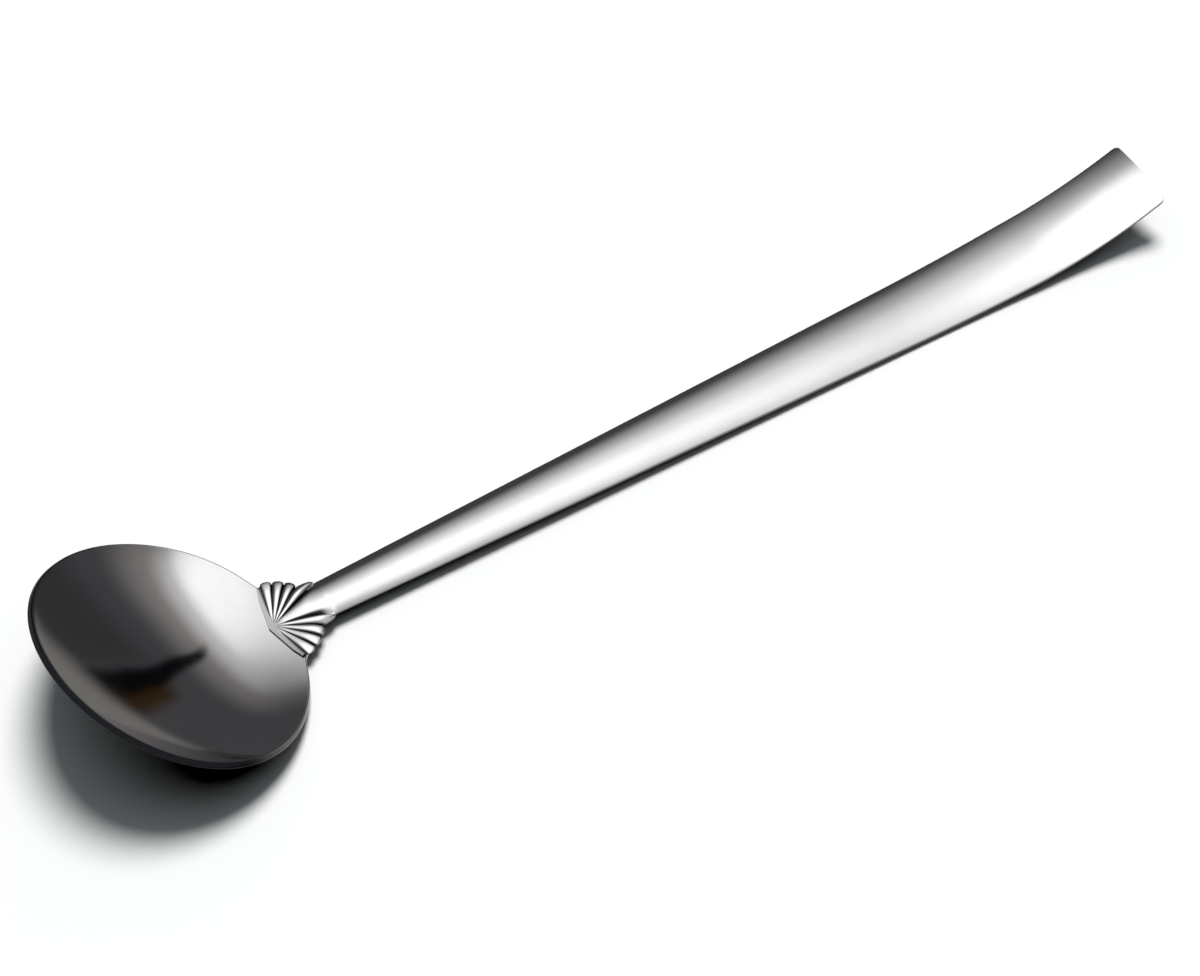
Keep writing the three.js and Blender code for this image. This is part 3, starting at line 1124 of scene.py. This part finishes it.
    def dullness_and_shade(self, point: Vector, _: Vector) -> float:
        """Return how unpolished a point is and how much dark shade is painted on it: the bottoms of the
        grooves, and less so the border and the neck point.

        Args:
            point: The point's place.
            _: Its normal, which isn't needed.

        Returns:
            The dullness, from 0 to 1.
        """
        x = point.x - self.bowl.neck_x
        away = abs(math.degrees(math.atan2(point.y, x)))
        distance = math.hypot(x, point.y)
        past = distance * math.sin(math.radians(min(90.0, max(0.0, away - self.fan_edge))))
        begun = ease((distance - self.groove_start) / self.groove_rise)
        fallen = 1.0 - self.rib_round(away) ** 2
        deep = begun * ease((fallen - self.groove_from) / self.groove_fade) * ease(1.0 - past / self.base)
        if away < self.butt_edge:
            deep *= ease((self.reach(away) - distance) / self.groove_end)
        plain = max(ease(past / self.base), 1.0 - begun)
        # Groove bottoms get dark painted shade; the border and the neck point get part of it.
        return max(deep, plain * self.border_dull_shade)

    def build(self) -> bpy.types.Object:
        """Model the collar from a disc that is folded over at its outline.

        Returns:
            The collar's mesh object.
        """
        directions = self.directions()
        blank = RoundBlank(sectors=len(directions), rings=2 * self.rows + 1)
        collar = blank.cut("fluted_collar")
        blank.press(collar, lambda sector, ring: self.corner(directions[sector], ring))
        close_last_ring(collar)
        return collar

    def dress(self, collar: bpy.types.Object, material: bpy.types.Material) -> None:
        """Give the collar its finish."""
        finish_piece(collar, material, "shell_collar", self.dullness_and_shade)


@dataclass
class BrazedJoints:
    """The two films of filler metal, which keep their solids' shape.

    Attributes:
        nodes: The names of the films' solids.
    """

    nodes: tuple[str, ...] = ("collar_braze", "tang_braze")

    def dress(self, material: bpy.types.Material) -> None:
        """Give the films their finish.

        Args:
            material: The filler metal.
        """
        for name in self.nodes:
            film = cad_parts[name]
            film.data.materials.clear()
            film.data.materials.append(material)
            LOG.info("%s: kept, with %s", name, material.name)


@dataclass(frozen=True)
class Placed:
    """Something round the table, placed by its direction.

    Attributes:
        azimuth: Its direction in plan, in degrees to the right of straight behind the table.
        elevation: Its height over the table, in degrees.
    """

    azimuth: float
    elevation: float


@dataclass(frozen=True)
class Glow(Placed):
    """A soft patch of light on the studio's dome.

    Attributes:
        core: The angle from its middle over which it is even, in degrees.
        edge: The angle from its middle where it has faded out, in degrees.
        colour: Its brightness in each colour.
    """

    core: float
    edge: float
    colour: Colour


@dataclass(frozen=True)
class MirroredRay:
    """The direction that the steel mirrors, as numbers in the dome's graph.

    Attributes:
        back: Its part towards the back of the table.
        right: Its part to the right.
        up: Its part upwards.
        depth: How often it has left a surface, with the camera's own ray counted as 1.
        wall: 1 where it meets the wall behind the camera.
    """

    back: Socket
    right: Socket
    up: Socket
    depth: Socket
    wall: Socket


@dataclass(frozen=True)
class Screen:
    """A narrow dark screen behind the table, warm on its left and dim on its right, that the bowl mirrors.

    Attributes:
        azimuth: Its direction in plan, in degrees to the right of straight behind the table.
        fade: The sines of the elevations between which it fades out.
        bend_from: The sine of the elevation where it starts to lean over.
        bend: How far it leans over.
        foot: How far it leans over below the table's level.
        once: The ray's depths between which it fades out, so that it isn't mirrored twice.
        dark: The colour of its face.
        dark_left: The angles past its middle between which that colour fades in, in radians.
        dark_right: The angles between which that colour fades out.
        warm: The colour of its left edge.
        warm_left: The angles between which that colour fades in.
        warm_right: The angles between which that colour fades out.
        warm_fade: The sines of the elevations between which that colour fades out.
        dim: The colour of the dim dome to its right.
        dim_left: The angles between which that colour fades in.
        dim_fade: The sines of the elevations between which that colour fades out.
    """

    azimuth: float = 25.7
    fade: Range = (0.6, 0.78)
    bend_from: float = 0.25
    bend: float = 0.8
    foot: float = 0.14
    once: Range = (2.2, 2.8)
    dark: Colour = (0.002, 0.002, 0.003)
    dark_left: Range = (-0.045, -0.02)
    dark_right: Range = (0.008, 0.028)
    warm: Colour = (0.036, 0.019, 0.007)
    warm_left: Range = (-0.1, -0.05)
    warm_right: Range = (-0.02, 0.01)
    warm_fade: Range = (0.05, 0.25)
    dim: Colour = (0.044, 0.041, 0.044)
    dim_left: Range = (0.0, 0.05)
    dim_fade: Range = (0.05, 0.35)

    def stand(self, graph: Graph, light: bpy.types.NodeSocket, ray: MirroredRay) -> bpy.types.NodeSocket:
        """Put the screen in front of the dome.

        Args:
            graph: The dome's graph.
            light: The dome's colour without the screen.
            ray: The direction that is mirrored.

        Returns:
            The dome's colour with the screen.
        """
        rise = graph.maths("MAXIMUM", ray.up - self.bend_from, 0.0)
        sink = graph.maths("MAXIMUM", 0.0 - ray.up, 0.0)
        lean = rise**2.0 * self.bend + sink * self.foot
        past = graph.maths("ARCTAN2", ray.right, ray.back) + lean - math.radians(self.azimuth)

        def short_of(limits: Range, value: Socket) -> Socket:
            """Return 1 below the limits and 0 above them."""
            return 1.0 - graph.smooth(value, *limits)

        warm = graph.smooth(past, *self.warm_left) * short_of(self.warm_right, past)
        warm = warm * short_of(self.warm_fade, ray.up)
        dark = graph.smooth(past, *self.dark_left) * short_of(self.dark_right, past)
        dark = dark * short_of(self.fade, ray.up) * short_of(self.once, ray.depth)
        dim = graph.smooth(past, *self.dim_left) * short_of(self.dim_fade, ray.up) * (1.0 - ray.wall)
        for mask, colour in ((dim, self.dim), (warm, self.warm), (dark, self.dark)):
            light = graph.mix(mask, light, colour)
        return light


@dataclass(frozen=True)
class Lamp(Placed):
    """A wide soft lamp over the table, which the steel doesn't mirror.

    Attributes:
        name: Its name.
        width: The angle that it takes up, in degrees.
        strength: Its brightness.
        colour: Its colour.
    """

    name: str
    width: float
    strength: float
    colour: Colour


@dataclass(frozen=True)
class SoftBox(Placed):
    """A wide round soft box over the table, brightest in its middle, which lights some pieces alone.

    Attributes:
        distance: Its distance from the spoon.
        width: Its diameter.
        core: The share of its radius over which it is even.
        power: Its power, in watts.
    """

    azimuth: float = 13.0
    elevation: float = 70.0
    distance: float = 1.0
    width: float = 2.75
    core: float = 0.37
    power: float = 7.8


@dataclass
class Studio:
    """A pale table under soft lamps, a dome that only the steel mirrors, and the camera.

    Attributes:
        glows: The patches of light on the dome.
        screen: The dark screen behind the table.
        lamps: The lamps that light the table.
        soft_box: The soft box that the handle and the collar mirror.
        front: The colour of the dim dome on the camera's side.
        behind: The colour of the dim dome behind the table.
        side_fade: The parts of a ray towards the back between which one changes to the other.
        room: The colour of the pale wall behind the camera.
        room_azimuth: The direction of that wall, in degrees to the right of straight behind the table.
        room_lean: How much narrower the wall gets upwards.
        room_fade: The parts of a ray in that direction between which the wall fades in.
        backdrop: The colour that the camera sees beyond the table.
        table: The table's colour.
        ground: The colour that the steel mirrors from below the table's edge.
        ground_fade: The sines of the elevations between which that colour fades out.
        near_ground: The colour that the steel mirrors from straight below.
        near_fade: The sines of the elevations between which that colour fades out.
        table_size: The width of the table.
        azimuth: The camera's direction round the spoon, in degrees.
        elevation: The camera's height over the table, in degrees.
        distance: The camera's distance from the point that it looks at.
        target: The point that the camera looks at.
        lens: The camera's focal length, in millimetres.
        clip_start: The distance from which the camera sees.
    """

    glows: tuple[Glow, ...] = (
        Glow(azimuth=-63.5, elevation=80.5, core=12.0, edge=33.3, colour=(0.65, 0.65, 0.65)),
        Glow(azimuth=-5.4, elevation=75.3, core=2.0, edge=38.0, colour=(0.53, 0.54, 0.55)),
        Glow(azimuth=27.3, elevation=67.3, core=2.0, edge=48.8, colour=(0.26, 0.24, 0.225)),
    )
    screen: Screen = Screen()
    lamps: tuple[Lamp, ...] = (
        Lamp(
            name="back_lamp", azimuth=8.0, elevation=62.0,
            width=24.0, strength=3.45, colour=(1.0, 0.998, 0.99),
        ),
        Lamp(
            name="wide_lamp", azimuth=8.0, elevation=64.0,
            width=98.0, strength=0.74, colour=(0.9, 0.97, 1.0),
        ),
    )
    soft_box: SoftBox = SoftBox()
    front: Colour = (0.030, 0.031, 0.033)
    behind: Colour = (0.068, 0.066, 0.073)
    side_fade: Range = (-0.2, 0.35)
    room: Colour = (0.68, 0.685, 0.69)
    room_azimuth: float = -166.5
    room_lean: float = 0.6
    room_fade: Range = (-0.6, -0.3)
    backdrop: Colour = (0.985, 0.985, 0.985)
    table: Colour = (0.86, 0.86, 0.865)
    ground: Colour = (0.215, 0.205, 0.195)
    ground_fade: Range = (-0.235, -0.15)
    near_ground: Colour = (0.5, 0.49, 0.48)
    near_fade: Range = (-0.8, -0.55)
    table_size: float = 6.0
    azimuth: float = -31.95
    elevation: float = 53.75
    distance: float = 500.0 * MM
    target: Vector = field(default_factory=lambda: Vector((50.86, -3.48, 1.7)) * MM)
    lens: float = 119.25
    clip_start: float = 10.0 * MM

    def towards(self, azimuth: float, elevation: float) -> Vector:
        """Return a direction over the table.

        Args:
            azimuth: The direction in plan, in degrees to the right of straight behind the table.
            elevation: The height over the table, in degrees.

        Returns:
            The unit vector of that direction.
        """
        turn, rise = math.radians(90.0 + self.azimuth - azimuth), math.radians(elevation)
        return Vector((math.cos(rise) * math.cos(turn), math.cos(rise) * math.sin(turn), math.sin(rise)))

    def light(self) -> None:
        """Build the dome, which the steel mirrors and which lights nothing else."""
        world = bpy.data.worlds.new("studio_dome")
        bpy.context.scene.world = world
        world.use_nodes = True
        world.cycles_visibility.diffuse = False
        graph = Graph(world.node_tree)
        direction = graph.node("ShaderNodeTexCoord").outputs["Generated"]
        path = graph.node("ShaderNodeLightPath")
        product = {"operation": "DOT_PRODUCT"}

        def along(azimuth: float, elevation: float) -> Socket:
            """Return the part of the ray that runs in one direction."""
            inputs = {0: direction, 1: self.towards(azimuth, elevation)}
            return graph.value(graph.node("ShaderNodeVectorMath", product, inputs), "Value")

        back, right, up = along(0.0, 0.0), along(90.0, 0.0), along(0.0, 90.0)
        light = graph.mix(graph.smooth(back, *self.side_fade), self.front, self.behind)
        wall = graph.smooth(along(self.room_azimuth, 0.0) - up * self.room_lean, *self.room_fade)
        light = graph.mix(wall, light, self.room)
        for glow in self.glows:
            edge, core = (math.cos(math.radians(angle)) for angle in (glow.edge, glow.core))
            mask = graph.smooth(along(glow.azimuth, glow.elevation), edge, core)
            light = graph.mix(mask, light, glow.colour, "ADD")
        ray = MirroredRay(back, right, up, graph.value(path, "Ray Depth"), wall)
        light = self.screen.stand(graph, light, ray)
        ground = graph.mix(graph.smooth(up, *self.near_fade), self.near_ground, self.ground)
        light = graph.mix(graph.smooth(up, *self.ground_fade), ground, light)
        colour = graph.mix(graph.value(path, "Is Camera Ray"), light, self.backdrop)
        spread = graph.maths("MINIMUM", graph.value(path, "Diffuse Depth"), 1.0)
        colour = graph.mix(spread, colour, BLACK)
        background = graph.node("ShaderNodeBackground", None, {"Color": colour, "Strength": 1.0})
        graph.node("ShaderNodeOutputWorld", None, {"Surface": background.outputs[0]})

    def hang(self, lamp: Lamp) -> None:
        """Hang one lamp over the table.

        Args:
            lamp: The lamp.
        """
        bpy.ops.object.light_add(type="SUN")
        hung = bpy.context.active_object
        hung.name = lamp.name
        hung.data.energy = lamp.strength
        hung.data.color = lamp.colour
        hung.data.angle = math.radians(lamp.width)
        hung.visible_glossy = False
        towards = self.towards(lamp.azimuth, lamp.elevation)
        hung.rotation_euler = towards.to_track_quat("Z", "Y").to_euler()

    def hang_soft_box(self, pieces: list[bpy.types.Object]) -> None:
        """Hang the soft box and turn it to some pieces alone.

        Args:
            pieces: The pieces that mirror it.
        """
        box = self.soft_box
        towards = self.towards(box.azimuth, box.elevation)
        bpy.ops.object.light_add(type="AREA", location=self.target + towards * box.distance)
        hung = bpy.context.active_object
        hung.name = "soft_box"
        hung.rotation_euler = towards.to_track_quat("Z", "Y").to_euler()
        hung.data.shape = "DISK"
        hung.data.size = box.width
        hung.data.energy = box.power
        hung.data.use_nodes = True
        graph = Graph(hung.data.node_tree)
        place = graph.node("ShaderNodeNewGeometry").outputs["Parametric"]
        middle = graph.node("ShaderNodeVectorMath", {"operation": "DISTANCE"}, {0: place, 1: DISC_MIDDLE})
        outwards = graph.value(middle, "Value") * (1.0 / DISC_RADIUS)
        fade = 1.0 - graph.smooth(outwards, box.core, 1.0)
        glow = graph.node("ShaderNodeEmission", None, {"Strength": fade})
        graph.node("ShaderNodeOutputLight", None, {"Surface": glow.outputs[0]})
        lit = bpy.data.collections.new("soft_box_pieces")
        for piece in pieces:
            lit.objects.link(piece)
        hung.light_linking.receiver_collection = lit

    def lay_table(self) -> None:
        """Lay the pale table."""
        bpy.ops.object.select_all(action="DESELECT")
        bpy.ops.mesh.primitive_plane_add(size=self.table_size)
        table = bpy.context.active_object
        table.name = "pale_table"
        material, graph = new_material("pale_table")
        surface = graph.node("ShaderNodeBsdfDiffuse", None, {"Color": (*self.table, 1.0)})
        graph.node("ShaderNodeOutputMaterial", None, {"Surface": surface.outputs[0]})
        table.visible_glossy = False
        table.data.materials.append(material)

    def place_camera(self) -> None:
        """Place the camera at the viewing angle."""
        turn, rise = math.radians(self.azimuth), math.radians(self.elevation)
        level = math.cos(rise)
        back = Vector((math.sin(turn) * level, -math.cos(turn) * level, math.sin(rise)))
        bpy.ops.object.camera_add(location=self.target + back * self.distance)
        camera = bpy.context.active_object
        camera.name = "camera"
        camera.rotation_euler = (-back).to_track_quat("-Z", "Y").to_euler()
        camera.data.lens = self.lens
        camera.data.clip_start = self.clip_start
        bpy.context.scene.camera = camera

    def build(self) -> None:
        """Set up the table, the light, the camera and plain colours."""
        self.lay_table()
        self.light()
        for lamp in self.lamps:
            self.hang(lamp)
        self.place_camera()
        bpy.context.scene.view_settings.view_transform = "Standard"
        LOG.info("studio: %d lamps over the table", len(self.lamps))


def main() -> None:
    """Build the studio and the spoon, piece by piece."""
    logging.basicConfig(level=logging.INFO, format="%(name)s: %(message)s")
    studio = Studio()
    studio.build()
    bowl = Bowl()
    bowl_steel = PolishedSteel("bowl_steel", roughness=0.07, smear=0.04, marks=Polish.ROUND)
    bowl.dress(bowl.build(), bowl_steel.make())
    handle = Handle()
    handle_steel = PolishedSteel("handle_steel", roughness=0.09, smear=0.05, marks=Polish.ALONG)
    long_piece = handle.build()
    handle.dress(long_piece, handle_steel.make())
    collar = ShellCollar(bowl, handle)
    collar_steel = PolishedSteel("collar_steel", roughness=0.07, smear=0.03, marks=Polish.ALONG)
    fan_piece = collar.build()
    collar.dress(fan_piece, collar_steel.make())
    studio.hang_soft_box([long_piece, fan_piece])
    BrazedJoints().dress(BrazeFiller().make())


if __name__ == "__main__":
    main()
